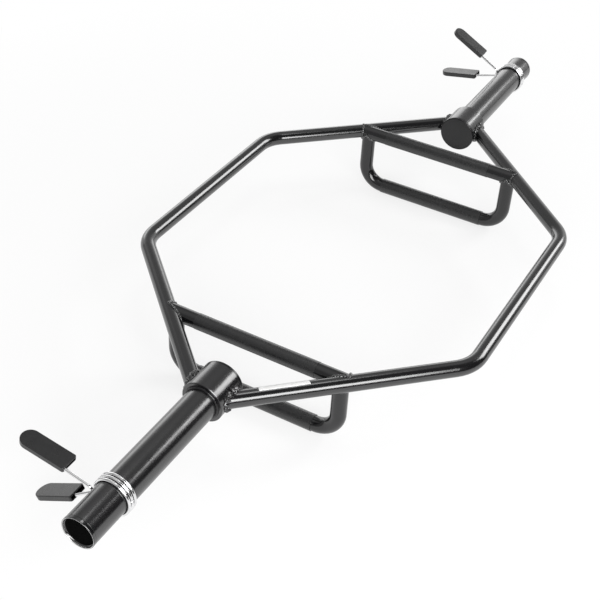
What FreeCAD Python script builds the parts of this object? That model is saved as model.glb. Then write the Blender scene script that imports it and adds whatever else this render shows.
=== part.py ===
import FreeCAD, Part
import math
import os

# Hexagonal lifting bar that lies on its two lowered handles.
# Sizes are in millimetres and angles in degrees.
# X runs along the bar, Y across it and Z up. The near end is at -X and the left side at +Y.
# Z = 0 is the floor under the lowered handles, and X = Y = 0 is the middle of the bar.

# Frame
overall_length = 1485.0          # over the plugs in the two sleeves
frame_width = 580.0              # between the centre lines of the two long sides
long_side_length = 388.0         # between the corners where the centre lines would meet
frame_tube_od = 25.0
frame_tube_wall = 3.5
side_bend_radius = 60.0

# Collars that take the sleeves, each closed by a plate at its inner end
collar_spacing = 826.0           # between the inner faces of the two plates
collar_length = 51.0
collar_od = 66.0
collar_edge_chamfer = 1.0
collar_weld_bevel = 3.0          # groove at the outer mouth of a collar, filled by the sleeve's weld
plate_thickness = 5.0
plate_edge_radius = 2.0

# Sleeves that carry the weight plates
sleeve_od = 50.0
sleeve_wall = 4.0
sleeve_edge_chamfer = 0.4
sleeve_fit = 0.1                 # radial room for the sleeve in its collar

# Plastic plugs in the open ends of the sleeves, with a lip over the sleeve's end and a dished face
cap_length = 17.0
cap_lip_length = 5.0
cap_lip_height = 0.2             # of the lip's crest above the sleeve
cap_lip_round = 0.8
cap_dish_depth = 4.5
cap_dish_wall = 1.0              # between the dish and the plug's outside
cap_face_thickness = 3.0
cap_skirt_wall = 2.5
cap_fit = 0.1

# Handles
handle_spacing = 648.0           # between the near and the far pair
handle_od = 25.0
handle_wall = 3.5
handle_drop = 105.0              # from an upper handle down to the lowered one
handle_bend_radius = 38.0
leg_inset = 13.0                 # from the crossing of handle and diagonal in to the leg
knurl_length = 206.0
knurl_height = 0.3

# Weld beads
weld_leg = 3.2                   # along the piece that is welded on
weld_step = 0.4                  # further along each piece that it is welded to
weld_gap = 0.4                   # joint left between a tube's end and what it is welded to
bead_gap = 0.1                   # between a bead and the surfaces under it

# Spring clips
clip_wire = 4.4
clip_turns = 3
clip_turn_gap = 1.5
clip_sleeve_gap = 0.3            # between the coil and the sleeve
clip_bend_radius = 8.0
clip_splay = 38.9                # between the two grips at rest
near_clip_inset = 74.5           # from the end of the bar to the middle of the coil
far_clip_inset = 53.0
near_clip_angle = -10.0          # of the line midway between the grips, above +Y
far_clip_angle = 8.6
grip_start_radius = 72.8         # from the sleeve's axis to the open end of a grip
grip_offset = 3.0                # from the middle of the coil to the middle of a grip, along +X
grip_length = 77.8
grip_width = 28.5
grip_corner_radius = 3.0         # at the open end
grip_edge_radius = 1.2
grip_face_wall = 1.8             # above and below the slot for the wire
grip_side_wall = 1.7
grip_slot_clearance = 0.3
grip_slot_depth = 58.0
lower_entry_offset = 5.5         # from the middle of a lower grip to where its wire enters, along -X
hairpin_return = 24.0            # length of wire that comes back inside a grip
mouth_bend_radius = 12.0

# Values worked out from the sizes above
collar_radius = collar_od / 2
sleeve_radius = sleeve_od / 2
sleeve_bore_radius = sleeve_radius - sleeve_wall
frame_radius = frame_tube_od / 2
handle_radius = handle_od / 2
half_length = overall_length / 2
plate_face = collar_spacing / 2
collar_start = plate_face + plate_thickness
collar_end = collar_start + collar_length
collar_middle = (plate_face + collar_end) / 2
corner_x = long_side_length / 2
corner_y = frame_width / 2
handle_x = handle_spacing / 2
bar_z = handle_radius + knurl_height
frame_z = bar_z + handle_drop
diagonal_slope = (corner_y - collar_radius) / (collar_middle - corner_x)
crossing_y = collar_radius + (collar_middle - handle_x) * diagonal_slope
leg_y = crossing_y - leg_inset
sleeve_end = half_length - cap_lip_length - cap_fit
coil_radius = sleeve_radius + clip_sleeve_gap + clip_wire / 2
clip_pitch = clip_wire + clip_turn_gap
slot_height = clip_wire + 2 * grip_slot_clearance
slot_width = grip_width - 2 * grip_side_wall
grip_thickness = slot_height + 2 * grip_face_wall
hairpin_reach = (slot_width - clip_wire) / 2 - grip_slot_clearance

ENDS = {"near": -1, "far": 1}
SIDES = {"left": 1, "right": -1}
X_AXIS = FreeCAD.Vector(1, 0, 0)
Y_AXIS = FreeCAD.Vector(0, 1, 0)


def point(x, y, z):
    return FreeCAD.Vector(x, y, z)


def unit(vector):
    return vector / vector.Length


def rod(start, end, radius):
    """Solid cylinder between two points."""
    run = end - start
    return Part.makeCylinder(radius, run.Length, start, run)


def arc_between(start, corner, end):
    """Arc that leaves start and reaches end along the lines to their shared corner."""
    middle = (start + end) / 2
    half_chord = (end - start).Length / 2
    rise = (corner - middle).Length
    bow = half_chord * math.tan(math.atan2(rise, half_chord) / 2)
    return Part.Arc(start, middle + unit(corner - middle) * bow, end).toShape()


def rounded_path(points, radii):
    """Wire of straight runs joined by tangent arcs, one radius for each inner point."""
    edges = []
    last = points[0]
    for before, corner, after, radius in zip(points, points[1:], points[2:], radii):
        to_before = unit(before - corner)
        to_after = unit(after - corner)
        setback = radius / math.tan(to_before.getAngle(to_after) / 2)
        arc_start = corner + to_before * setback
        arc_end = corner + to_after * setback
        if (arc_start - last).Length > 1e-6:
            edges.append(Part.makeLine(last, arc_start))
        edges.append(arc_between(arc_start, corner, arc_end))
        last = arc_end
    if (points[-1] - last).Length > 1e-6:
        edges.append(Part.makeLine(last, points[-1]))
    return Part.Wire(edges)


def pipe(path, radius):
    """Round bar along a wire."""
    first = path.OrderedEdges[0]
    start = first.valueAt(first.FirstParameter)
    direction = first.tangentAt(first.FirstParameter)
    profile = Part.Wire(Part.makeCircle(radius, start, direction))
    return path.makePipeShell([profile], True, False)


def tube(path, od, wall):
    """Round tube along a wire."""
    return pipe(path, od / 2).cut(pipe(path, od / 2 - wall))


def turned(profile_edges, end):
    """Solid turned about the bar's axis from edges in (distance from the middle, radius)."""
    face = Part.Face(Part.Wire(profile_edges))
    solid = face.revolve(point(0, 0, 0), X_AXIS, 360)
    if end < 0:
        solid = solid.mirror(point(0, 0, 0), X_AXIS)
    solid.translate(point(0, 0, frame_z))
    return solid


def polygon(corners):
    """Closed run of straight edges through (distance, radius) pairs."""
    points = [point(x, r, 0) for x, r in corners]
    return [Part.makeLine(a, b) for a, b in zip(points, points[1:] + points[:1])]


def diagonal(end, side, radius):
    """Solid cylinder on the centre line of one diagonal."""
    inner = point(end * collar_middle, side * collar_radius, frame_z)
    corner = point(end * corner_x, side * corner_y, frame_z)
    axis = unit(corner - inner)
    return rod(inner - axis * collar_radius / 2, corner, radius)


def collar_blank(end, radius):
    """Solid cylinder over the length of one collar and its plate."""
    return rod(point(end * plate_face, 0, frame_z), point(end * collar_end, 0, frame_z), radius)


# Frame tubes
def side_tube(side):
    """Long side with its two bends and diagonals, coped to both collars."""
    start_x = collar_middle + collar_radius / 2 / diagonal_slope
    start_y = side * collar_radius / 2
    corners = [
        point(-start_x, start_y, frame_z),
        point(-corner_x, side * corner_y, frame_z),
        point(corner_x, side * corner_y, frame_z),
        point(start_x, start_y, frame_z),
    ]
    solid = tube(rounded_path(corners, [side_bend_radius] * 2), frame_tube_od, frame_tube_wall)
    for end in ENDS.values():
        solid = solid.cut(collar_blank(end, collar_radius + weld_gap))
    return solid


# Collar, plate, sleeve and plug
def collar(end):
    bore = sleeve_radius + sleeve_fit
    chamfer = collar_edge_chamfer
    return turned(polygon([
        (collar_start, bore),
        (collar_start, collar_radius),
        (collar_end - chamfer, collar_radius),
        (collar_end, collar_radius - chamfer),
        (collar_end, bore + collar_weld_bevel),
        (collar_end - collar_weld_bevel, bore),
    ]), end)


def collar_plate(end):
    edge = plate_edge_radius
    round_start = point(plate_face, collar_radius - edge, 0)
    round_end = point(plate_face + edge, collar_radius, 0)
    edges = [
        Part.makeLine(point(plate_face, 0, 0), round_start),
        arc_between(round_start, point(plate_face, collar_radius, 0), round_end),
        Part.makeLine(round_end, point(collar_start, collar_radius, 0)),
        Part.makeLine(point(collar_start, collar_radius, 0), point(collar_start, 0, 0)),
        Part.makeLine(point(collar_start, 0, 0), point(plate_face, 0, 0)),
    ]
    return turned(edges, end)


def sleeve(end):
    chamfer = sleeve_edge_chamfer
    return turned(polygon([
        (collar_start, sleeve_bore_radius),
        (collar_start, sleeve_radius),
        (sleeve_end - chamfer, sleeve_radius),
        (sleeve_end, sleeve_radius - chamfer),
        (sleeve_end, sleeve_bore_radius + chamfer),
        (sleeve_end - chamfer, sleeve_bore_radius),
    ]), end)


def sleeve_end_cap(end):
    """Plug whose lip covers the sleeve's end, with a rounded crest round a dished face."""
    outside = sleeve_bore_radius - cap_fit
    inside = outside - cap_skirt_wall
    crest = sleeve_radius + cap_lip_height
    lip_start = half_length - cap_lip_length
    skirt_end = half_length - cap_length
    dish = half_length - cap_dish_depth
    back = dish - cap_face_thickness
    mouth = point(half_length, crest - cap_lip_round, 0)
    lip_top = point(half_length - cap_lip_round, crest, 0)
    outline = [
        lip_top,
        point(lip_start, sleeve_radius, 0),
        point(lip_start, outside, 0),
        point(skirt_end, outside, 0),
        point(skirt_end, inside, 0),
        point(back, inside, 0),
        point(back, 0, 0),
        point(dish, 0, 0),
        point(dish, outside - cap_dish_wall, 0),
        mouth,
    ]
    edges = [Part.makeLine(a, b) for a, b in zip(outline, outline[1:])]
    edges.append(arc_between(mouth, point(half_length, crest, 0), lip_top))
    return turned(edges, end)


# Handles
def upper_handle(end):
    """Straight handle between the diagonals, coped to both."""
    middle = point(end * handle_x, 0, frame_z)
    reach = Y_AXIS * crossing_y
    grip = Y_AXIS * (knurl_length / 2)
    solid = rod(middle - reach, middle + reach, handle_radius)
    solid = solid.fuse(rod(middle - grip, middle + grip, handle_radius + knurl_height))
    solid = solid.cut(rod(middle - reach, middle + reach, handle_radius - handle_wall))
    for side in SIDES.values():
        solid = solid.cut(diagonal(end, side, frame_radius + weld_gap))
    return solid


def lower_handle(end):
    """U-shaped handle whose legs are coped to the diagonals and to the upper handle."""
    x = end * handle_x
    corners = [
        point(x, leg_y, frame_z),
        point(x, leg_y, bar_z),
        point(x, -leg_y, bar_z),
        point(x, -leg_y, frame_z),
    ]
    path = rounded_path(corners, [handle_bend_radius] * 2)
    middle = point(x, 0, bar_z)
    grip = Y_AXIS * (knurl_length / 2)
    solid = pipe(path, handle_radius)
    solid = solid.fuse(rod(middle - grip, middle + grip, handle_radius + knurl_height))
    solid = solid.cut(pipe(path, handle_radius - handle_wall))
    reach = Y_AXIS * crossing_y
    upper = point(x, 0, frame_z)
    solid = solid.cut(rod(upper - reach, upper + reach, handle_radius + weld_gap))
    for side in SIDES.values():
        solid = solid.cut(diagonal(end, side, frame_radius + weld_gap))
    return solid


# Weld beads, worked out for the far left corner of the frame
def at_corners(beads, end):
    """Beads of the far left corner, mirrored to both corners at one end."""
    copies = []
    for side in SIDES.values():
        for bead in beads:
            if end < 0:
                bead = bead.mirror(point(0, 0, 0), X_AXIS)
            if side < 0:
                bead = bead.mirror(point(0, 0, 0), Y_AXIS)
            copies.append(bead)
    return Part.makeCompound(copies)


def frame_bead():
    """Bead round a diagonal where it meets the collar."""
    shell = collar_blank(1, collar_radius + weld_leg + weld_step)
    shell = shell.cut(collar_blank(1, collar_radius + bead_gap))
    band = diagonal(1, 1, frame_radius + weld_leg)
    band = band.cut(diagonal(1, 1, frame_radius + bead_gap))
    return band.common(shell).Solids[0]


def handle_beads():
    """Beads round the end of the upper handle and round the top of the leg below it."""
    middle = point(handle_x, 0, frame_z)
    reach = point(handle_x, crossing_y, frame_z)
    leg_foot = point(handle_x, leg_y, bar_z + handle_bend_radius)
    leg_top = point(handle_x, leg_y, frame_z)
    side = diagonal(1, 1, frame_radius + bead_gap)
    handle = rod(middle, reach, handle_radius + 2 * bead_gap)
    leg = rod(leg_foot, leg_top, handle_radius + 3 * bead_gap)
    handle_band = rod(middle, reach, handle_radius + weld_leg)
    leg_band = rod(leg_foot, leg_top, handle_radius + weld_leg)
    side_band = diagonal(1, 1, frame_radius + weld_leg + weld_step)
    handle_base = rod(middle, reach, handle_radius + weld_leg + 2 * weld_step)
    handle_bead = handle_band.cut(handle).cut(side).common(side_band).cut(leg_band)
    leg_bead = leg_band.cut(leg).cut(side).cut(handle).common(side_band.fuse(handle_base))
    return [max(bead.Solids, key=lambda solid: solid.Volume) for bead in (handle_bead, leg_bead)]


def sleeve_weld(end):
    """Bead that fills the collar's bevelled mouth and rounds over on to the sleeve."""
    inside = sleeve_radius + bead_gap
    fill = collar_weld_bevel + sleeve_fit - 3 * bead_gap
    root = point(collar_end - fill, inside, 0)
    foot = point(collar_end, inside + fill, 0)
    tip = point(collar_end + weld_leg, inside, 0)
    corner = point(collar_end + weld_leg, inside + fill, 0)
    edges = [
        Part.makeLine(root, foot),
        arc_between(foot, corner, tip),
        Part.makeLine(tip, root),
    ]
    return turned(edges, end)


# Spring clips
def coil_lead():
    """Angle on the coil from where the wire leaves it to the radial line of its grip."""
    reach = coil_radius + clip_bend_radius
    centre = math.hypot(reach, clip_wire)
    return math.degrees(math.atan2(clip_wire, reach) + math.asin(clip_bend_radius / centre))


def coil_point(middle_x, angle, turn_from_middle):
    """Point on the coil's centre line at an angle above +Y, counted in whole turns along X."""
    a = math.radians(angle)
    x = middle_x + clip_pitch * turn_from_middle
    return point(x, coil_radius * math.cos(a), frame_z + coil_radius * math.sin(a))


def coil_direction(angle):
    """Unit direction of the wire as the angle falls and X grows."""
    a = math.radians(angle)
    turn_length = 2 * math.pi * coil_radius
    return unit(point(clip_pitch, turn_length * math.sin(a), -turn_length * math.cos(a)))


def biarc(start, start_direction, end, end_direction):
    """Two arcs that join two points and keep both directions."""
    chord = end - start
    both = start_direction + end_direction
    spread = 2 * (1 - start_direction.dot(end_direction))
    along = chord.dot(both)
    reach = (math.sqrt(along * along + spread * chord.dot(chord)) - along) / spread
    first_corner = start + start_direction * reach
    second_corner = end - end_direction * reach
    joint = (first_corner + second_corner) / 2
    return [arc_between(start, first_corner, joint), arc_between(joint, second_corner, end)]


def clip_wrap():
    """Angle that the wire winds from the upper arm to the lower arm."""
    return 360 * clip_turns + clip_splay - 2 * coil_lead()


def clip_coil(middle_x, middle_angle):
    """Coil wound from the upper arm at its -X end to the lower arm at its +X end."""
    wrap = clip_wrap()
    first_angle = middle_angle + clip_splay / 2 - coil_lead()
    spans = round(wrap / 90)
    stations = [wrap * i / spans for i in range(spans + 1)]
    points = [coil_point(middle_x, first_angle - s, (s - wrap / 2) / 360) for s in stations]
    directions = [coil_direction(first_angle - s) for s in stations]
    first_run = Part.makeLine(points[0] - directions[0] * clip_wire, points[0])
    last_run = Part.makeLine(points[-1], points[-1] + directions[-1] * clip_wire)
    edges = [first_run]
    for i in range(spans):
        edges += biarc(points[i], directions[i], points[i + 1], directions[i + 1])
    edges.append(last_run)
    path = Part.Wire(edges)
    print("least gap of the coil to itself: %.3f mm" % least_self_gap(path))
    return pipe(path, clip_wire / 2)


def least_self_gap(path):
    """Least room between turns, measured on points that lie over half a turn apart."""
    step = clip_wire / 4
    points = path.discretize(Number=int(path.Length / step))
    apart = int(math.pi * coil_radius / step)
    least = path.Length
    for i, here in enumerate(points):
        for there in points[i + apart:]:
            least = min(least, here.distanceToPoint(there))
    return least - clip_wire


def arm_angle(middle_angle, arm):
    return middle_angle + arm * clip_splay / 2


def clip_arm_wire(middle_x, middle_angle, arm):
    """Wire from the coil's end out to the grip, with a hairpin inside the grip."""
    out_angle = arm_angle(middle_angle, arm)
    a = math.radians(out_angle)
    root_angle = out_angle - arm * coil_lead()
    root = coil_point(middle_x, root_angle, -arm * clip_wrap() / 720)
    away = coil_direction(root_angle) * -arm
    start = root + away * clip_wire
    lead = math.radians(coil_lead())

    def on_arm(radius, x):
        return point(x, radius * math.cos(a), frame_z + radius * math.sin(a))

    corner = on_arm(coil_radius / math.cos(lead), root.x)
    corner.x = (root + away * (coil_radius * math.tan(lead) / math.hypot(away.y, away.z))).x
    grip_x = middle_x + grip_offset
    entry_x = grip_x - (hairpin_reach if arm > 0 else lower_entry_offset)
    return_x = grip_x + hairpin_reach
    hairpin_radius = (return_x - entry_x) / 2
    turn_radius = grip_start_radius + grip_slot_depth - clip_wire
    corners = [
        start,
        corner,
        on_arm(grip_start_radius, entry_x),
        on_arm(turn_radius, entry_x),
        on_arm(turn_radius, return_x),
        on_arm(turn_radius - hairpin_return, return_x),
    ]
    first_bend = (corner - start).Length * math.tan((start - corner).getAngle(corners[2] - corner) / 2)
    radii = [first_bend, mouth_bend_radius, hairpin_radius, hairpin_radius]
    return pipe(rounded_path(corners, radii), clip_wire / 2)


def clip_grip(middle_x, middle_angle, arm):
    """Flat tongue with a round tip, rounded corners at its open end and a slot for the hairpin."""
    half_width = grip_width / 2
    low = -grip_thickness / 2
    start = grip_start_radius
    tip = start + grip_length
    shoulder = tip - half_width
    corner = grip_corner_radius
    right = point(half_width, shoulder, low)
    left = point(-half_width, shoulder, low)
    mouth = [
        left,
        point(-half_width, start, low),
        point(half_width, start, low),
        right,
    ]
    edges = rounded_path(mouth, [corner, corner]).Edges
    edges.append(Part.Arc(right, point(0, tip, low), left).toShape())
    tongue = Part.Face(Part.Wire(edges)).extrude(point(0, 0, grip_thickness))
    rims = [edge for edge in tongue.Edges if edge.BoundBox.ZLength < grip_edge_radius]
    tongue = tongue.makeFillet(grip_edge_radius, rims)
    slot_corner = point(-slot_width / 2, start - grip_slot_depth, -slot_height / 2)
    slot = Part.makeBox(slot_width, 2 * grip_slot_depth, slot_height, slot_corner)
    tongue = tongue.cut(slot)
    tongue.rotate(point(0, 0, 0), X_AXIS, arm_angle(middle_angle, arm))
    tongue.translate(point(middle_x + grip_offset, 0, frame_z))
    return tongue


def export(name, shape):
    shape.exportStep("parts/%s.step" % name)


def main():
    os.makedirs("parts", exist_ok=True)
    for name, side in SIDES.items():
        export(name + "_side_tube", side_tube(side))
    for name, end in ENDS.items():
        export(name + "_collar", collar(end))
        export(name + "_collar_plate", collar_plate(end))
        export(name + "_sleeve", sleeve(end))
        export(name + "_sleeve_end_cap", sleeve_end_cap(end))
        export(name + "_upper_handle", upper_handle(end))
        export(name + "_lower_handle", lower_handle(end))
        export(name + "_frame_welds", at_corners([frame_bead()], end))
        export(name + "_handle_welds", at_corners(handle_beads(), end))
        export(name + "_sleeve_weld", sleeve_weld(end))
    clips = {
        "near": (near_clip_inset - half_length, near_clip_angle),
        "far": (half_length - far_clip_inset, far_clip_angle),
    }
    for name, (middle_x, middle_angle) in clips.items():
        export(name + "_clip_coil", clip_coil(middle_x, middle_angle))
        for arm_name, arm in (("upper", 1), ("lower", -1)):
            export("%s_clip_%s_wire" % (name, arm_name), clip_arm_wire(middle_x, middle_angle, arm))
            export("%s_clip_%s_grip" % (name, arm_name), clip_grip(middle_x, middle_angle, arm))


main()
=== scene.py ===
import math

import bmesh
import bpy
from mathutils import Matrix, Vector, noise


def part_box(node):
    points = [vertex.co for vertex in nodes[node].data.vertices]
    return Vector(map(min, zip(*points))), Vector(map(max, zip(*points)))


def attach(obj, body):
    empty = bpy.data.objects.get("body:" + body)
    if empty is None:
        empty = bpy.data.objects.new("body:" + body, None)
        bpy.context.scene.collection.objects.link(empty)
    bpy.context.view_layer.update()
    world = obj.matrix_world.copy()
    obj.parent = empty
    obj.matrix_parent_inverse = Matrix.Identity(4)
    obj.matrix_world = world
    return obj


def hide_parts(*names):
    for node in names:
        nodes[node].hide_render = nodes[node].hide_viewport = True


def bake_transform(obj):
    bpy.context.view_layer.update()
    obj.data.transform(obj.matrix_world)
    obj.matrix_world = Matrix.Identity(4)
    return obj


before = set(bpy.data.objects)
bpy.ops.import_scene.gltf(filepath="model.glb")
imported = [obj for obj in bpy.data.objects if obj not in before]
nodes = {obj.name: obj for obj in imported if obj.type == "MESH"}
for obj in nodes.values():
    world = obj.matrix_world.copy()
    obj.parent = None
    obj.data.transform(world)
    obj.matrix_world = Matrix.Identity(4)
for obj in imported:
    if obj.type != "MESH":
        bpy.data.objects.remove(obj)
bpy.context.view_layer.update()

ENDS = {"near": -1, "far": 1}
SIDES = {"left": 1, "right": -1}
UP = Vector((0, 0, 1))

# Sizes, in metres. Those that a node's box gives are read from it.
LONG_SIDE = 0.388
HANDLE_RADIUS = 0.0125
KNURL_LENGTH = 0.206
WIRE_RADIUS = 0.0022
COIL_TURNS = 3
COIL_PITCH = 0.0059
COIL_GAP = 0.0003
CLIP_BEND = 0.008
CLIP_SPLAY = math.radians(38.9)
CLIP_ANGLE = {"near": math.radians(-10.0), "far": math.radians(8.6)}
KNURL_STEP = 0.00082
KNURL_DEPTH = 0.00007
KNURL_RISE = {"upper": 0.00002, "lower": 0.0006}
KNURL_UNDER = 0.00038
STRIP_START = 0.0365
STRIP_LENGTH = 0.074
STRIP_ANGLES = (math.radians(30), math.radians(103))
STRIP_THICKNESS = 0.0002
STRIP_UNDER = 0.0002
PLUG_CREST = 0.0009
PLUG_CHAMFER = 0.0002
PLUG_DISH = 0.0045
PLUG_LIP = 0.005
PLUG_FACE = 0.003
PLUG_SKIRT = (0.0209, 0.0184)
DISC_RADIUS = 0.0186

# Weld beads: radius, length of a ripple, and the share of the radius that is lumps
COLLAR_BEAD = (0.00432, 0.007, 0.4)
COLLAR_BEAD_CROWN = {"near": 0.8, "far": 0.25}
HANDLE_BEAD = (0.00252, 0.0046, 0.3)
LEG_BEAD = (0.00306, 0.0046, 0.3)
SLEEVE_BEAD = (0.0026, 0.006, 0.05)
SLEEVE_BEAD_OUT = 0.0002
SLEEVE_BEAD_RISE = 0.0006

# Lumps per metre: of a bead's thickness, of its line, and the coarse and fine ones of its skin
THICKNESS_LUMPS = 160
LINE_LUMPS = 210
COARSE_LUMPS = 420
FINE_LUMPS = 900

# Counts of points and faces
SEAM_POINTS = 180
COLLAR_BEAD_SIDES = 36
WIRE_SIDES = 18
PLUG_STEPS = 12
PLUG_AROUND = 96
STRIP_STEPS = (40, 14)

sleeve_low, sleeve_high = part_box("far_sleeve")
frame_z = (sleeve_low.z + sleeve_high.z) / 2
sleeve_radius = (sleeve_high.z - sleeve_low.z) / 2
collar_low, collar_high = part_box("far_collar")
collar_radius = (collar_high.z - collar_low.z) / 2
collar_end = collar_high.x
collar_middle = (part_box("far_collar_plate")[0].x + collar_end) / 2
side_low, side_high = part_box("left_side_tube")
tube_radius = (side_high.z - side_low.z) / 2
upper_low, upper_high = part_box("far_upper_handle")
handle_x = (upper_low.x + upper_high.x) / 2
band_radius = (upper_high.x - upper_low.x) / 2
plug_low, plug_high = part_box("far_sleeve_end_cap")
lower_low, lower_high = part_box("far_lower_handle")
bar_z = lower_low.z + band_radius
leg_y = lower_high.y - HANDLE_RADIUS

# The diagonal of the left far quarter goes along run, from the collar's side to the corner.
# Across points outward from it.
diagonal_start = Vector((collar_middle, collar_radius, frame_z))
diagonal_corner = Vector((LONG_SIDE / 2, side_high.y - tube_radius, frame_z))
run = (diagonal_corner - diagonal_start).normalized()
across = Vector((run.y, -run.x, 0))
crossing_y = diagonal_start.y + (collar_middle - handle_x) * run.y / -run.x


# Meshes

def mirrored(points, end, side):
    """Points of the left far quarter, moved to another quarter."""
    return [Vector((p.x * ENDS[end], p.y * SIDES[side], p.z)) for p in points]


def mesh_object(name, verts, faces, smooth=True):
    mesh = bpy.data.meshes.new(name)
    mesh.from_pydata(verts, [], faces)
    built = bmesh.new()
    built.from_mesh(mesh)
    bmesh.ops.recalc_face_normals(built, faces=built.faces)
    built.to_mesh(mesh)
    built.free()
    mesh.polygons.foreach_set("use_smooth", [smooth] * len(mesh.polygons))
    piece = bpy.data.objects.new(name, mesh)
    bpy.context.scene.collection.objects.link(piece)
    return piece


def joined(shapes):
    """One list of vertices and faces from several."""
    verts = []
    faces = []
    for shape_verts, shape_faces in shapes:
        offset = len(verts)
        verts += shape_verts
        faces += [[offset + i for i in face] for face in shape_faces]
    return verts, faces


def sweep(points, radii, closed, sides):
    """A round tube along points, with a radius at each."""
    count = len(points)
    normal = None
    rings = []
    for i, point in enumerate(points):
        if closed:
            tangent = (points[(i + 1) % count] - points[i - 1]).normalized()
        else:
            tangent = (points[min(i + 1, count - 1)] - points[max(i - 1, 0)]).normalized()
        if normal is None:
            normal = tangent.orthogonal()
        normal = (normal - tangent * normal.dot(tangent)).normalized()
        other = tangent.cross(normal)
        ring = []
        for k in range(sides):
            turn = 2 * math.pi * k / sides
            ring.append(point + radii[i] * (math.cos(turn) * normal + math.sin(turn) * other))
        rings.append(ring)
    verts = [v for ring in rings for v in ring]
    faces = []
    shift = 0
    if closed:
        # The frame turns on its way round, so the last ring meets the first at the nearest vertex.
        shift = min(range(sides), key=lambda k: (rings[0][k] - rings[-1][0]).length)
    for i in range(count if closed else count - 1):
        following = (i + 1) % count
        offset = shift if closed and following == 0 else 0
        for k in range(sides):
            a = i * sides + k
            b = i * sides + (k + 1) % sides
            c = following * sides + (k + 1 + offset) % sides
            d = following * sides + (k + offset) % sides
            faces.append([a, b, c, d])
    if not closed:
        faces.append(list(range(sides))[::-1])
        faces.append([(count - 1) * sides + k for k in range(sides)])
    return verts, faces


def even(points, step):
    """A closed line with points at even distances."""
    lengths = [0.0]
    loop = points + [points[0]]
    for a, b in zip(loop, loop[1:]):
        lengths.append(lengths[-1] + (b - a).length)
    count = max(12, round(lengths[-1] / step))
    result = []
    at = 0
    for i in range(count):
        target = lengths[-1] * i / count
        while lengths[at + 1] < target:
            at += 1
        part = (target - lengths[at]) / max(lengths[at + 1] - lengths[at], 1e-9)
        result.append(loop[at].lerp(loop[at + 1], part))
    return result


# Seeded, so that the weld lumps are the same in each run.
LUMP_SEED = 7
noise.seed_set(LUMP_SEED)


def bead(points, radius, ripple, lump, crown=0.0, sides=20):
    """A weld bead along a closed seam, with the weld pool's ripples and lumps, fuller by crown on top."""
    points = even(points, ripple * 2.5 / sides)
    length = sum((b - a).length for a, b in zip(points, points[1:] + points[:1]))
    ripples = max(3, round(length / ripple))
    top = max(p.z for p in points)
    middle = sum((p for p in points), Vector()) / len(points)
    radii = []
    placed = []
    for i, point in enumerate(points):
        phase = math.pi * ripples * i / len(points)
        drift = noise.noise(point * THICKNESS_LUMPS)
        fuller = 1 + crown * max(0, (point.z - middle.z) / (top - middle.z)) ** 2
        radii.append(radius * fuller * (1 - lump + lump * abs(math.sin(phase)) + 0.6 * lump * drift))
        placed.append(point + noise.noise_vector(point * LINE_LUMPS) * radius * 0.6 * lump)
    verts, faces = sweep(placed, radii, True, sides)
    for i, vert in enumerate(verts):
        out = vert - placed[i // sides]
        skin = 0.8 * noise.noise(vert * COARSE_LUMPS) + 0.5 * noise.noise(vert * FINE_LUMPS)
        verts[i] = vert + out * lump * skin
    return verts, faces


# Seams, for the left far quarter

def round_turn():
    return [2 * math.pi * i / SEAM_POINTS for i in range(SEAM_POINTS)]


def collar_seam():
    points = []
    for turn in round_turn():
        height = tube_radius * math.sin(turn)
        sideways = tube_radius * math.cos(turn) * across
        reach = math.sqrt(collar_radius ** 2 - height ** 2) - collar_radius - sideways.y
        points.append(diagonal_start + sideways + run * (reach / run.y) + UP * height)
    return points


def handle_seam():
    points = []
    for turn in round_turn():
        height = HANDLE_RADIUS * math.sin(turn)
        sideways = HANDLE_RADIUS * math.cos(turn)
        inward = -math.sqrt(max(tube_radius ** 2 - height ** 2, 0))
        y = crossing_y + (inward - sideways * across.x) / across.y
        points.append(Vector((handle_x + sideways, y, frame_z + height)))
    return points


def leg_seam():
    points = []
    for turn in round_turn():
        x = HANDLE_RADIUS * math.cos(turn)
        y = leg_y + HANDLE_RADIUS * math.sin(turn)
        off = x * across.x + (y - crossing_y) * across.y
        below_handle = math.sqrt(max(HANDLE_RADIUS ** 2 - x ** 2, 0))
        below_tube = math.sqrt(max(tube_radius ** 2 - off ** 2, 0))
        points.append(Vector((handle_x + x, y, frame_z - max(below_handle, below_tube))))
    return points


# Materials

def material(name, colour, roughness, **settings):
    """A Principled material. Values that are the same all over go on the shader's own sockets."""
    made = bpy.data.materials.new(name)
    made.use_nodes = True
    shader = made.node_tree.nodes["Principled BSDF"]
    shader.inputs["Base Color"].default_value = (*colour, 1)
    shader.inputs["Roughness"].default_value = roughness
    for socket, value in settings.items():
        shader.inputs[socket.replace("_", " ")].default_value = value
    return made, made.node_tree, shader


def place(tree):
    """The point's place on the object."""
    return tree.nodes.new("ShaderNodeTexCoord").outputs["Object"]


def cloud(tree, scale, detail=3.0, roughness=0.55):
    texture = tree.nodes.new("ShaderNodeTexNoise")
    texture.inputs["Scale"].default_value = scale
    texture.inputs["Detail"].default_value = detail
    texture.inputs["Roughness"].default_value = roughness
    tree.links.new(place(tree), texture.inputs["Vector"])
    return texture.outputs["Fac"]


def spread(tree, value, low, high, start=0.3, stop=0.7):
    """value between start and stop, spread over low to high."""
    ranged = tree.nodes.new("ShaderNodeMapRange")
    ranged.inputs["From Min"].default_value = start
    ranged.inputs["From Max"].default_value = stop
    ranged.inputs["To Min"].default_value = low
    ranged.inputs["To Max"].default_value = high
    tree.links.new(value, ranged.inputs["Value"])
    return ranged.outputs["Result"]


def tinted(tree, value, dark, light):
    """A colour between dark and light."""
    ramp = tree.nodes.new("ShaderNodeValToRGB")
    ramp.color_ramp.elements[0].position = 0.3
    ramp.color_ramp.elements[0].color = (*dark, 1)
    ramp.color_ramp.elements[1].position = 0.7
    ramp.color_ramp.elements[1].color = (*light, 1)
    tree.links.new(value, ramp.inputs["Fac"])
    return ramp.outputs["Color"]


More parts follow.
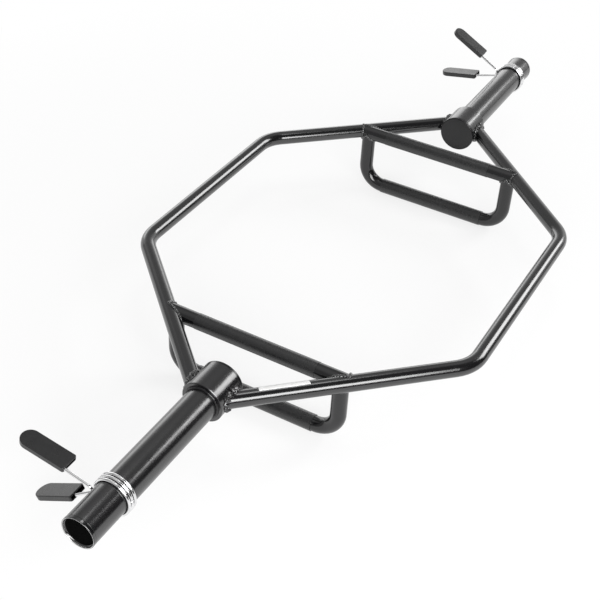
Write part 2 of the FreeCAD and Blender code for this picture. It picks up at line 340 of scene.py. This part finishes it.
def roughen(tree, shader, height, distance):
    bump = tree.nodes.new("ShaderNodeBump")
    bump.inputs["Strength"].default_value = 1.0
    bump.inputs["Distance"].default_value = distance
    tree.links.new(height, bump.inputs["Height"])
    tree.links.new(bump.outputs["Normal"], shader.inputs["Normal"])


def maths(tree, operation, *values):
    step = tree.nodes.new("ShaderNodeMath")
    step.operation = operation
    for socket, value in zip(step.inputs, values):
        if isinstance(value, (int, float)):
            socket.default_value = value
        else:
            tree.links.new(value, socket)
    return step.outputs["Value"]


def gloss_paint(name, low, high, ior=1.9, wave=0.0002):
    """Black gloss coat: near-black, with the slight waves of a baked coat on drawn tube."""
    made, tree, shader = material(name, (0.003, 0.003, 0.0035), low, IOR=ior)
    tree.links.new(spread(tree, cloud(tree, 22), low, high), shader.inputs["Roughness"])
    tint = tinted(tree, cloud(tree, 60), (0.002, 0.002, 0.0024), (0.004, 0.004, 0.0046))
    tree.links.new(tint, shader.inputs["Base Color"])
    roughen(tree, shader, cloud(tree, 45, 2.0), wave)
    return made


def knurl_paint(name):
    """Painted knurling: the same coat, dull, with points rubbed a little lighter."""
    made, tree, shader = material(name, (0.006, 0.006, 0.0065), 0.28, IOR=1.65)
    tint = tinted(tree, cloud(tree, 240), (0.004, 0.004, 0.0045), (0.009, 0.009, 0.0095))
    tree.links.new(tint, shader.inputs["Base Color"])
    tree.links.new(spread(tree, cloud(tree, 60), 0.24, 0.32), shader.inputs["Roughness"])
    return made


def chrome(name):
    made, tree, shader = material(name, (0.83, 0.83, 0.84), 0.1, Metallic=1.0)
    tint = tinted(tree, cloud(tree, 260), (0.74, 0.74, 0.75), (0.88, 0.88, 0.88))
    tree.links.new(tint, shader.inputs["Base Color"])
    tree.links.new(spread(tree, cloud(tree, 500), 0.08, 0.16), shader.inputs["Roughness"])
    roughen(tree, shader, cloud(tree, 900, 2.0), 0.00001)
    return made


def grained_plastic(name, roughness):
    """Moulded black plastic with a fine spark-eroded grain."""
    made, tree, shader = material(name, (0.007, 0.007, 0.0075), roughness, IOR=1.58)
    tint = tinted(tree, cloud(tree, 120), (0.005, 0.005, 0.0055), (0.009, 0.009, 0.0095))
    tree.links.new(tint, shader.inputs["Base Color"])
    shine = spread(tree, cloud(tree, 40), roughness - 0.05, roughness + 0.05)
    tree.links.new(shine, shader.inputs["Roughness"])
    roughen(tree, shader, cloud(tree, 2600, 2.0, 0.7), 0.00003)
    return made


def matt_plastic(name):
    """The plug's recessed disc, where a name was printed: matt and bare, with a fine grain."""
    made, tree, shader = material(name, (0.003, 0.003, 0.003), 0.6, Specular_IOR_Level=0.0)
    tint = tinted(tree, cloud(tree, 400), (0.002, 0.002, 0.002), (0.004, 0.004, 0.004))
    tree.links.new(tint, shader.inputs["Base Color"])
    tree.links.new(spread(tree, cloud(tree, 700), 0.5, 0.7), shader.inputs["Roughness"])
    roughen(tree, shader, cloud(tree, 2600, 2.0, 0.7), 0.00003)
    return made


def bright_edge(name):
    """The plug's polished crest."""
    made, tree, shader = material(name, (0.6, 0.6, 0.6), 0.3, Metallic=1.0)
    tint = tinted(tree, cloud(tree, 160), (0.48, 0.48, 0.48), (0.7, 0.7, 0.7))
    tree.links.new(tint, shader.inputs["Base Color"])
    tree.links.new(spread(tree, cloud(tree, 300), 0.26, 0.38), shader.inputs["Roughness"])
    return made


def vinyl(name):
    made, tree, shader = material(name, (0.82, 0.82, 0.82), 0.4)
    tint = tinted(tree, cloud(tree, 90), (0.78, 0.78, 0.775), (0.86, 0.86, 0.86))
    tree.links.new(tint, shader.inputs["Base Color"])
    roughen(tree, shader, cloud(tree, 500), 0.00003)
    return made


frame_coat = gloss_paint("frame gloss coat", 0.16, 0.19, wave=0.00004)
bead_coat = gloss_paint("weld gloss coat", 0.1, 0.15)
sleeve_coat = gloss_paint("sleeve gloss coat", 0.19, 0.23, wave=0.00012)
collar_coat = gloss_paint("collar gloss coat", 0.17, 0.21, wave=0.00012)
plate_coat = gloss_paint("plate coat", 0.2, 0.26, 1.5)
handle_coat = gloss_paint("handle coat", 0.13, 0.17, 1.62, 0.00008)
knurl_coat = knurl_paint("knurl coat")
wire_chrome = chrome("spring wire chrome")
grip_plastic = grained_plastic("grip plastic", 0.3)
plug_gloss = gloss_paint("plug gloss plastic", 0.1, 0.14)
plug_matt = matt_plastic("plug matt disc")
plug_edge = bright_edge("plug polished edge")
strip_vinyl = vinyl("strip vinyl")


def wear(piece, finish):
    piece.data.materials.clear()
    piece.data.materials.append(finish)


FINISHES = {
    "side_tube": frame_coat,
    "collar": collar_coat,
    "collar_plate": plate_coat,
    "sleeve": sleeve_coat,
    "upper_handle": handle_coat,
    "lower_handle": handle_coat,
    "clip_upper_wire": wire_chrome,
    "clip_lower_wire": wire_chrome,
    "clip_upper_grip": grip_plastic,
    "clip_lower_grip": grip_plastic,
}
for name, node in nodes.items():
    kind = name.split("_", 1)[1]
    if kind in FINISHES:
        wear(node, FINISHES[kind])


# Pieces on the frame

def finish_piece(piece, body, coat, slot, *replaced):
    wear(piece, coat)
    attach(piece, body)
    if replaced:
        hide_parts(*replaced)


def weld_pieces(end):
    seams = [mirrored(collar_seam(), end, side) for side in SIDES]
    shapes = [bead(seam, *COLLAR_BEAD, COLLAR_BEAD_CROWN[end], COLLAR_BEAD_SIDES) for seam in seams]
    piece = mesh_object(end + "_collar_beads", *joined(shapes))
    finish_piece(piece, "frame", bead_coat, "frame_paint", end + "_frame_welds")

    shapes = []
    for side in SIDES:
        shapes.append(bead(mirrored(handle_seam(), end, side), *HANDLE_BEAD))
        shapes.append(bead(mirrored(leg_seam(), end, side), *LEG_BEAD))
    piece = mesh_object(end + "_handle_beads", *joined(shapes))
    finish_piece(piece, "frame", bead_coat, "frame_paint", end + "_handle_welds")

    x = ENDS[end] * (collar_end + SLEEVE_BEAD_OUT)
    radius = sleeve_radius + SLEEVE_BEAD_RISE
    ring = [Vector((x, radius * math.cos(t), frame_z + radius * math.sin(t))) for t in round_turn()]
    piece = mesh_object(end + "_sleeve_bead", *bead(ring, *SLEEVE_BEAD))
    finish_piece(piece, "frame", plate_coat, "frame_paint", end + "_sleeve_weld")


# The plug's finishes, in the order of its materials
GLOSS, MATT, BRIGHT = range(3)


def plug_profile(radius):
    """The plug's outline from the middle of its face round to its back: depth, radius and finish."""
    rim = radius - 2 * PLUG_CREST
    turned = [(PLUG_DISH, part * DISC_RADIUS, MATT) for part in (0.0, 0.5, 0.97, 1.0)]
    for k in range(1, PLUG_STEPS + 1):
        turn = math.pi / 2 * (1 - k / PLUG_STEPS)
        depth = PLUG_CREST + (PLUG_DISH - PLUG_CREST) * math.sin(turn)
        finish = MATT if k < 7 else BRIGHT if k > 10 else GLOSS
        turned.append((depth, DISC_RADIUS + (rim - DISC_RADIUS) * math.cos(turn), finish))
    for k in range(1, PLUG_STEPS + 1):
        turn = math.pi * (1 - k / PLUG_STEPS)
        depth = PLUG_CREST * (1 - math.sin(turn))
        finish = BRIGHT if k < 8 else GLOSS
        turned.append((depth, radius - PLUG_CREST + PLUG_CREST * math.cos(turn), finish))
    skirt, inside = PLUG_SKIRT
    back = PLUG_DISH + PLUG_FACE
    length = plug_high.x - plug_low.x
    lip = [(PLUG_LIP - PLUG_CHAMFER, radius), (PLUG_LIP, radius - PLUG_CHAMFER), (PLUG_LIP, skirt)]
    hollow = [(length, skirt), (length, inside), (back, inside), (back, 0.0)]
    turned += [(depth, across_axis, GLOSS) for depth, across_axis in lip + hollow]
    return turned


def plug_piece(end):
    profile = plug_profile((plug_high.z - plug_low.z) / 2)
    turns = [2 * math.pi * k / PLUG_AROUND for k in range(PLUG_AROUND)]
    verts = []
    for depth, radius, _ in profile:
        x = ENDS[end] * (plug_high.x - depth)
        if radius == 0:
            verts.append([Vector((x, 0, frame_z))])
            continue
        verts.append([Vector((x, radius * math.cos(t), frame_z + radius * math.sin(t))) for t in turns])
    starts = [sum(len(ring) for ring in verts[:i]) for i in range(len(verts))]
    faces = []
    finishes = []
    for i in range(len(verts) - 1):
        for k in range(PLUG_AROUND):
            corners = []
            for ring, column in ((i, k), (i, k + 1), (i + 1, k + 1), (i + 1, k)):
                corner = starts[ring] + column % len(verts[ring])
                if corner not in corners:
                    corners.append(corner)
            faces.append(corners)
            finishes.append(profile[i + 1][2])
    piece = mesh_object(end + "_plug", [v for ring in verts for v in ring], faces)
    piece.data.set_sharp_from_angle(angle=math.radians(40))
    finish_piece(piece, "frame", plug_gloss, "cap_plastic", end + "_sleeve_end_cap")
    piece.data.materials.append(plug_matt)
    piece.data.materials.append(plug_edge)
    piece.data.polygons.foreach_set("material_index", finishes)


def knurl_piece(name, x, z, rise):
    """Raised diamonds over a handle's knurled length, rise above its band and closed inside."""
    columns = 2 * round(math.pi * band_radius / KNURL_STEP)
    rows = 2 * round(KNURL_LENGTH / KNURL_STEP / 2)
    verts = []
    for row in range(rows + 3):
        # Two inner rows, one at each end, follow the outer ones and close the piece.
        inner = row > rows
        along = 0 if row == rows + 2 else min(row, rows)
        y = -KNURL_LENGTH / 2 + KNURL_LENGTH * along / rows
        for column in range(columns):
            radius = band_radius + rise
            if inner:
                radius = band_radius - KNURL_UNDER
            elif (row + column) % 2 == 0 and 0 < row < rows:
                radius += KNURL_DEPTH
            turn = 2 * math.pi * column / columns
            verts.append(Vector((x + radius * math.cos(turn), y, z + radius * math.sin(turn))))
    faces = []
    for row in range(rows + 3):
        following = (row + 1) % (rows + 3)
        for column in range(columns):
            beside = (column + 1) % columns
            a = row * columns + column
            b = row * columns + beside
            c = following * columns + beside
            d = following * columns + column
            # Each quad splits between its two low corners, so that grooves run between the diamonds.
            if (row + column) % 2 == 0:
                faces += [[a, b, d], [b, c, d]]
            else:
                faces += [[a, b, c], [a, c, d]]
    piece = mesh_object(name, verts, faces, smooth=False)
    finish_piece(piece, "frame", knurl_coat, "handle_paint")


def strip_piece():
    """A blank strip stuck on the right near diagonal, towards the inside."""
    start, stop = STRIP_ANGLES
    lengthways, crossways = STRIP_STEPS
    layers = []
    for radius in (tube_radius + STRIP_THICKNESS, tube_radius - STRIP_UNDER):
        layer = []
        for i in range(lengthways + 1):
            for j in range(crossways + 1):
                turn = start + (stop - start) * j / crossways
                along = STRIP_START + STRIP_LENGTH * i / lengthways
                out = -across * math.cos(turn) + UP * math.sin(turn)
                layer.append(diagonal_start + run * along + out * radius)
        layers.append(mirrored(layer, "near", "right"))
    verts = layers[0] + layers[1]
    under = len(layers[0])
    faces = []
    width = crossways + 1
    for i in range(lengthways):
        for j in range(crossways):
            a = i * width + j
            quad = [a, a + 1, a + 1 + width, a + width]
            faces.append(quad)
            faces.append([under + k for k in quad[::-1]])
    edge = list(range(width))
    edge += [i * width + crossways for i in range(1, lengthways + 1)]
    edge += [lengthways * width + j for j in range(crossways - 1, -1, -1)]
    edge += [i * width for i in range(lengthways - 1, 0, -1)]
    for a, b in zip(edge, edge[1:] + edge[:1]):
        faces.append([a, b, under + b, under + a])
    piece = mesh_object("blank_strip", verts, faces)
    wear(piece, strip_vinyl)
    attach(piece, "frame")


for end in ENDS:
    weld_pieces(end)
    plug_piece(end)
    knurl_piece(end + "_upper_knurl", ENDS[end] * handle_x, frame_z, KNURL_RISE["upper"])
    knurl_piece(end + "_lower_knurl", ENDS[end] * handle_x, bar_z, KNURL_RISE["lower"])
strip_piece()


# Clip coils

def coil_line(end):
    """The wire's centre line round the sleeve, from the upper arm's end to the lower arm's."""
    radius = sleeve_radius + COIL_GAP + WIRE_RADIUS
    reach = radius + CLIP_BEND
    lead = math.atan2(2 * WIRE_RADIUS, reach) + math.asin(CLIP_BEND / math.hypot(reach, 2 * WIRE_RADIUS))
    wrap = 2 * math.pi * COIL_TURNS + CLIP_SPLAY - 2 * lead
    first = CLIP_ANGLE[end] + CLIP_SPLAY / 2 - lead
    low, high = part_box(end + "_clip_coil")
    middle = (low.x + high.x) / 2
    steps = 64 * COIL_TURNS
    points = []
    for i in range(steps + 1):
        turned = wrap * i / steps
        angle = first - turned
        x = middle + COIL_PITCH * (turned - wrap / 2) / (2 * math.pi)
        points.append(Vector((x, radius * math.cos(angle), frame_z + radius * math.sin(angle))))
    into = (points[0] - points[1]).normalized()
    out = (points[-1] - points[-2]).normalized()
    run_out = 2 * WIRE_RADIUS
    before = [points[0] + into * run_out * k / 4 for k in (4, 3, 2, 1)]
    after = [points[-1] + out * run_out * k / 4 for k in (1, 2, 3, 4)]
    return before + points + after


def coil_pieces(end):
    line = coil_line(end)
    half = len(line) // 2
    parts = {"upper": line[:half + 1], "lower": line[half:]}
    for part, points in parts.items():
        shape = sweep(points, [WIRE_RADIUS] * len(points), False, WIRE_SIDES)
        piece = mesh_object("_".join((end, part, "coil_half")), *shape)
        wear(piece, wire_chrome)
        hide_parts(end + "_clip_coil")
        if part == "upper":
            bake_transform(piece)
        else:
            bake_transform(piece)


for end in ENDS:
    coil_pieces(end)


# Camera, at the photograph's angle

CAMERA_PLACE = Vector((-1.44178, -0.64822, 1.22258))
CAMERA_YAW = 0.47901
CAMERA_PITCH = 0.66675
CAMERA_ROLL = 0.05991
SENSOR = 36.0
FOCAL_PIXELS = 1156.522
FRAME_PIXELS = 600

forward = Vector((math.cos(CAMERA_YAW) * math.cos(CAMERA_PITCH),
                  math.sin(CAMERA_YAW) * math.cos(CAMERA_PITCH),
                  -math.sin(CAMERA_PITCH)))
level = Vector((math.sin(CAMERA_YAW), -math.cos(CAMERA_YAW), 0))
rise = level.cross(forward)
rightward = math.cos(CAMERA_ROLL) * level + math.sin(CAMERA_ROLL) * rise
upward = -math.sin(CAMERA_ROLL) * level + math.cos(CAMERA_ROLL) * rise
lens = bpy.data.cameras.new("camera")
lens.sensor_width = SENSOR
lens.lens = SENSOR * FOCAL_PIXELS / FRAME_PIXELS
lens.clip_end = 50
camera = bpy.data.objects.new("camera", lens)
camera.matrix_world = Matrix((
    (rightward.x, upward.x, -forward.x, CAMERA_PLACE.x),
    (rightward.y, upward.y, -forward.y, CAMERA_PLACE.y),
    (rightward.z, upward.z, -forward.z, CAMERA_PLACE.z),
    (0, 0, 0, 1)))
bpy.context.scene.collection.objects.link(camera)
bpy.context.scene.camera = camera


# Floor, lamps and world

FLOOR_Z = -0.0009
FLOOR_SIZE = 12.0
FLOOR_COLOUR = 0.97
FLOOR_WHITE_SHARE = 0.75         # of plain white, near the object
FLOOR_FADE = (0.35, 1.25)        # distances over which the floor goes to plain white
SHEET_END = (-1.15, -0.8)        # where gloss sees the white sheet end, in Y
DARK_FLOOR = 0.05                # beyond the sheet

# What gloss sees round the object: levels, and where one goes over into the next
AMBIENT = (0.38, 0.38, 0.38, 1)
DARK_SIDE = math.radians(-85)
WALLS = 0.38
DARK_WALLS = 0.06
DARK_EDGES = (0.25, 0.85)
CEILING = 0.4
CEILING_EDGES = (0.7, 0.95)
CEILING_DARK_SHARE = 0.1
CEILING_DARK_EDGES = (-0.7, 0.5)
WHITE_SIDE = math.radians(22)
BACKDROP_TOP = 0.35
BACKDROP_HEIGHTS = (0.3, 0.58)
BACKDROP_EDGES = (0.43, 0.62)


def floor_piece():
    made = bpy.data.materials.new("floor")
    made.use_nodes = True
    tree = made.node_tree
    output = tree.nodes["Material Output"]
    tree.nodes.remove(tree.nodes["Principled BSDF"])
    matt = tree.nodes.new("ShaderNodeBsdfDiffuse")
    white = tree.nodes.new("ShaderNodeEmission")
    white.inputs["Color"].default_value = (1, 1, 1, 1)
    white.inputs["Strength"].default_value = 1.0
    path = tree.nodes.new("ShaderNodeLightPath")
    # Gloss sees the white sheet end in front of the object, outside the photograph.
    axes = tree.nodes.new("ShaderNodeSeparateXYZ")
    tree.links.new(place(tree), axes.inputs["Vector"])
    sheet_end = spread(tree, axes.outputs["Y"], 1.0, 0.0, *SHEET_END)
    beyond = maths(tree, "MULTIPLY", path.outputs["Is Glossy Ray"], sheet_end)
    colour = maths(tree, "MULTIPLY_ADD", beyond, DARK_FLOOR - FLOOR_COLOUR, FLOOR_COLOUR)
    tree.links.new(colour, matt.inputs["Color"])
    on_sheet = maths(tree, "SUBTRACT", path.outputs["Is Glossy Ray"], beyond)
    shown = maths(tree, "MAXIMUM", path.outputs["Is Camera Ray"], on_sheet)
    shown = maths(tree, "MAXIMUM", shown, path.outputs["Is Transmission Ray"])
    # Near the object the floor keeps its shadow. Further out it goes to plain white.
    reach = tree.nodes.new("ShaderNodeVectorMath")
    reach.operation = "LENGTH"
    tree.links.new(place(tree), reach.inputs[0])
    share = spread(tree, reach.outputs["Value"], FLOOR_WHITE_SHARE, 1.0, *FLOOR_FADE)
    mix = tree.nodes.new("ShaderNodeMixShader")
    tree.links.new(maths(tree, "MULTIPLY", shown, share), mix.inputs["Fac"])
    tree.links.new(matt.outputs["BSDF"], mix.inputs[1])
    tree.links.new(white.outputs["Emission"], mix.inputs[2])
    tree.links.new(mix.outputs["Shader"], output.inputs["Surface"])
    half = FLOOR_SIZE / 2
    corners = [Vector((x * half, y * half, FLOOR_Z)) for x, y in ((-1, -1), (1, -1), (1, 1), (-1, 1))]
    floor = mesh_object("floor", corners, [[0, 1, 2, 3]], smooth=False)
    wear(floor, made)


def softbox(name, place_at, aim, width, height, radiance):
    lamp = bpy.data.lights.new(name, "AREA")
    lamp.shape = "RECTANGLE"
    lamp.size = width
    lamp.size_y = height
    lamp.energy = radiance * math.pi * width * height
    made = bpy.data.objects.new(name, lamp)
    made.location = place_at
    made.rotation_euler = (Vector(aim) - Vector(place_at)).to_track_quat("-Z", "Y").to_euler()
    made.visible_camera = False
    bpy.context.scene.collection.objects.link(made)


def studio_world():
    world = bpy.data.worlds.new("studio")
    world.use_nodes = True
    bpy.context.scene.world = world
    tree = world.node_tree
    output = tree.nodes["World Output"]
    light = tree.nodes["Background"]
    light.inputs["Color"].default_value = AMBIENT
    white = tree.nodes.new("ShaderNodeBackground")
    white.inputs["Color"].default_value = (1, 1, 1, 1)
    shade = tree.nodes.new("ShaderNodeBackground")
    path = tree.nodes.new("ShaderNodeLightPath")
    direction = tree.nodes.new("ShaderNodeTexCoord")
    axes = tree.nodes.new("ShaderNodeSeparateXYZ")
    tree.links.new(direction.outputs["Generated"], axes.inputs["Vector"])
    # Gloss sees grey walls, a paler ceiling, a dark studio to the right and a white backdrop behind.
    flat = tree.nodes.new("ShaderNodeCombineXYZ")
    for axis in "XY":
        tree.links.new(axes.outputs[axis], flat.inputs[axis])
    level = tree.nodes.new("ShaderNodeVectorMath")
    level.operation = "NORMALIZE"
    tree.links.new(flat.outputs["Vector"], level.inputs[0])

    def toward(side):
        """1 where the ray goes to that side, -1 where it goes away from it."""
        product = tree.nodes.new("ShaderNodeVectorMath")
        product.operation = "DOT_PRODUCT"
        tree.links.new(level.outputs["Vector"], product.inputs[0])
        product.inputs[1].default_value = (math.cos(side), math.sin(side), 0)
        return product.outputs["Value"]

    dark = toward(DARK_SIDE)
    height = axes.outputs["Z"]
    walls = spread(tree, dark, WALLS, DARK_WALLS, *DARK_EDGES)
    ceiling = maths(tree, "MULTIPLY", spread(tree, height, 0.0, CEILING, *CEILING_EDGES),
                    spread(tree, dark, 1.0, CEILING_DARK_SHARE, *CEILING_DARK_EDGES))
    backdrop = maths(tree, "MULTIPLY", spread(tree, height, 1.0, BACKDROP_TOP, *BACKDROP_HEIGHTS),
                     spread(tree, toward(WHITE_SIDE), 0.0, 1.0, *BACKDROP_EDGES))
    glow = maths(tree, "MAXIMUM", maths(tree, "ADD", walls, ceiling), backdrop)
    colour = tree.nodes.new("ShaderNodeCombineXYZ")
    for axis in "XYZ":
        tree.links.new(glow, colour.inputs[axis])
    tree.links.new(colour.outputs["Vector"], shade.inputs["Color"])
    glossy = tree.nodes.new("ShaderNodeMixShader")
    tree.links.new(path.outputs["Is Glossy Ray"], glossy.inputs["Fac"])
    tree.links.new(light.outputs["Background"], glossy.inputs[1])
    tree.links.new(shade.outputs["Background"], glossy.inputs[2])
    seen = tree.nodes.new("ShaderNodeMixShader")
    tree.links.new(path.outputs["Is Camera Ray"], seen.inputs["Fac"])
    tree.links.new(glossy.outputs["Shader"], seen.inputs[1])
    tree.links.new(white.outputs["Background"], seen.inputs[2])
    tree.links.new(seen.outputs["Shader"], output.inputs["Surface"])


floor_piece()
studio_world()
softbox("left softbox", (-1.92, -1.43, 1.24), (-0.35, -0.14, 0.12), 2.25, 1.1, 8.4)
softbox("right softbox", (2.856, -2.191, 2.2), (0.0, 0.0, 0.12), 2.25, 1.55, 6.8)
softbox("top softbox", (0.25, -0.1, 2.6), (0.0, 0.0, 0.12), 0.6, 0.6, 3.0)
softbox("back panel", (1.99, 1.67, 0.55), (0.0, 0.0, 0.15), 3.2, 1.05, 1.4)
bpy.context.scene.view_settings.view_transform = "Standard"
